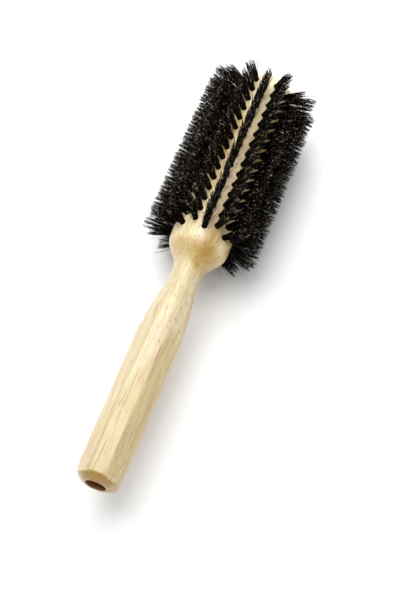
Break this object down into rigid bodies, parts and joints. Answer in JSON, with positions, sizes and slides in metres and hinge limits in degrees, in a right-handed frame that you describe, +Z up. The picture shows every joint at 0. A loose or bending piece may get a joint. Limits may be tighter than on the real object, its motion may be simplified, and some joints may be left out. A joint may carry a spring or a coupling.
{
  "type": "round barrel hair brush",
  "caption": "Round barrel hair brush lying on its bristles: a turned wooden body with an eight-sided grip, a waisted neck and straight rows of dark bristle tufts for blow drying and curling.",
  "frame": {"origin": "on the ground below the brush's axis, halfway along its length; the ground touches the lowest bristle row", "axes": "+Y along the brush's axis from the butt of the handle to the tip of the barrel, +Z up, +X to the right seen from the butt"},
  "size_m": [0.0622, 0.253, 0.0622],
  "materials": {
    "wood": "satin",
    "bristle": "satin",
    "anchor_wire": "satin"
  },
  "bodies": {
    "root": {"wooden_body": "wood", "bristle_row_01": "bristle", "bristle_row_02": "bristle", "bristle_row_03": "bristle", "bristle_row_04": "bristle", "bristle_row_05": "bristle", "bristle_row_06": "bristle", "bristle_row_07": "bristle", "bristle_row_08": "bristle", "bristle_row_09": "bristle", "bristle_row_10": "bristle", "bristle_row_11": "bristle", "bristle_row_12": "bristle", "bristle_row_13": "bristle", "bristle_row_14": "bristle", "bristle_row_15": "bristle", "bristle_row_16": "bristle"}
  },
  "joints": []
}
